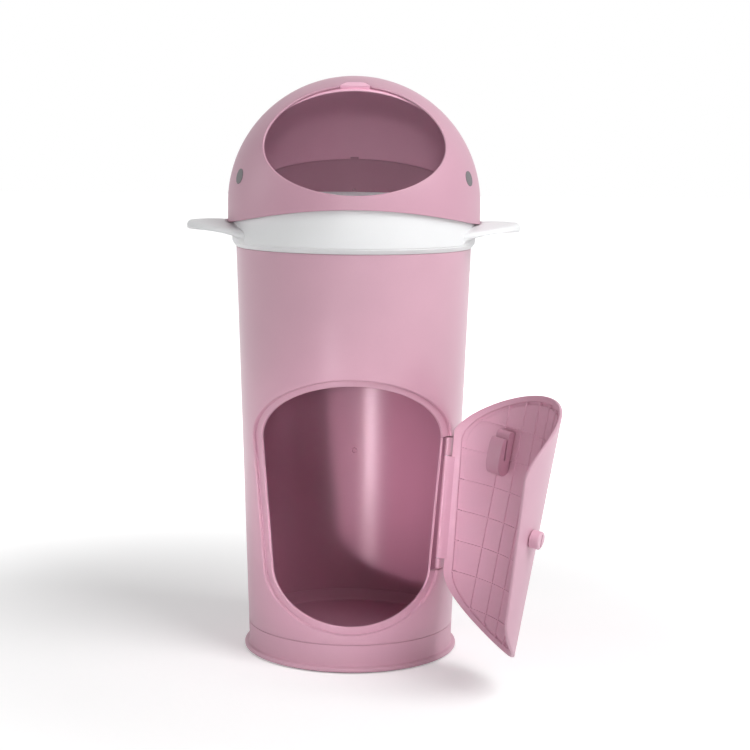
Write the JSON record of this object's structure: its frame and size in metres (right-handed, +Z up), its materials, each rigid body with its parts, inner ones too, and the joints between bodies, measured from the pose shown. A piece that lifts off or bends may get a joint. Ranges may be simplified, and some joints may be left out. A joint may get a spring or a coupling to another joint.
{
  "type": "diaper pail",
  "caption": "Pink film-type diaper pail: tapered body with a swing-open front door, white turning ring with two wing handles, and a lift-off dome with a sliding shutter.",
  "frame": {"origin": "on the floor, under the middle of the round base", "axes": "+Z up along the body's axis, -Y towards the front with the door and the dome's mouth, +X to the right seen from the front"},
  "size_m": [0.3819, 0.3791, 0.6103],
  "materials": {
    "body_plastic": "smooth moulded pink plastic with a soft shine",
    "base_plastic": "smooth moulded pink plastic with a soft shine",
    "dome_plastic": "smooth moulded pink plastic with a soft shine",
    "shutter_plastic": "smooth moulded pink plastic, a shade deeper",
    "door_plastic": "smooth moulded pink plastic with a soft shine",
    "cutter_plastic": "smooth moulded pink plastic",
    "knob_plastic": "smooth moulded pink plastic",
    "ring_plastic": "smooth white plastic",
    "disc_plastic": "fine-grained dark grey plastic",
    "glide_plastic": "low-friction natural white plastic",
    "grip_rubber": "dull dark rubber",
    "finger_rubber": "soft pale grey rubber",
    "steel": "bright zinc-plated steel",
    "pin_steel": "drawn steel pin"
  },
  "bodies": {
    "body": {"body_shell": "body_plastic", "base_tray": "base_plastic", "anti_slip_ring": "grip_rubber", "base_screws": "steel", "upper_hinge_pin": "pin_steel", "lower_hinge_pin": "pin_steel", "glide_ring": "glide_plastic", "grip_ring": "finger_rubber", "grip_screws": "steel"},
    "head": {"twist_ring": "ring_plastic", "retainer_ring": "glide_plastic", "retainer_screws": "steel", "throat_funnel": "ring_plastic", "funnel_screws": "steel"},
    "dome": {"dome_shell": "dome_plastic", "left_eye_disc": "disc_plastic", "right_eye_disc": "disc_plastic", "shutter_pivot_screws": "steel"},
    "shutter": {"shutter": "shutter_plastic"},
    "door": {"door_panel": "door_plastic", "cutter_body": "cutter_plastic", "cutter_blade": "steel"},
    "knob": {"door_knob": "knob_plastic", "latch_tongue": "glide_plastic", "latch_screw": "steel"}
  },
  "joints": [
    {"name": "head_turn", "type": "hinge", "parent": "body", "child": "head", "pos_m": [0, 0, 0.4325], "axis": [0, 0, 1], "continuous": true},
    {"name": "dome_lift", "type": "slide", "parent": "head", "child": "dome", "axis": [0, 0, 1], "range_m": [0, 0.16]},
    {"name": "shutter_turn", "type": "hinge", "parent": "dome", "child": "shutter", "pos_m": [0, 0, 0.4775], "axis": [1, 0, 0], "range_deg": [0, 60]},
    {"name": "door_hinge", "type": "hinge", "parent": "body", "child": "door", "pos_m": [0.0915, -0.05979, 0.1035], "axis": [0.0682, 0.0473, 0.9966], "range_deg": [-107.15, 0]},
    {"name": "knob_turn", "type": "hinge", "parent": "door", "child": "knob", "pos_m": [0.17309, -0.21743, 0.16858], "axis": [0.8775, -0.4539, -0.1549], "range_deg": [0, 90]}
  ]
}
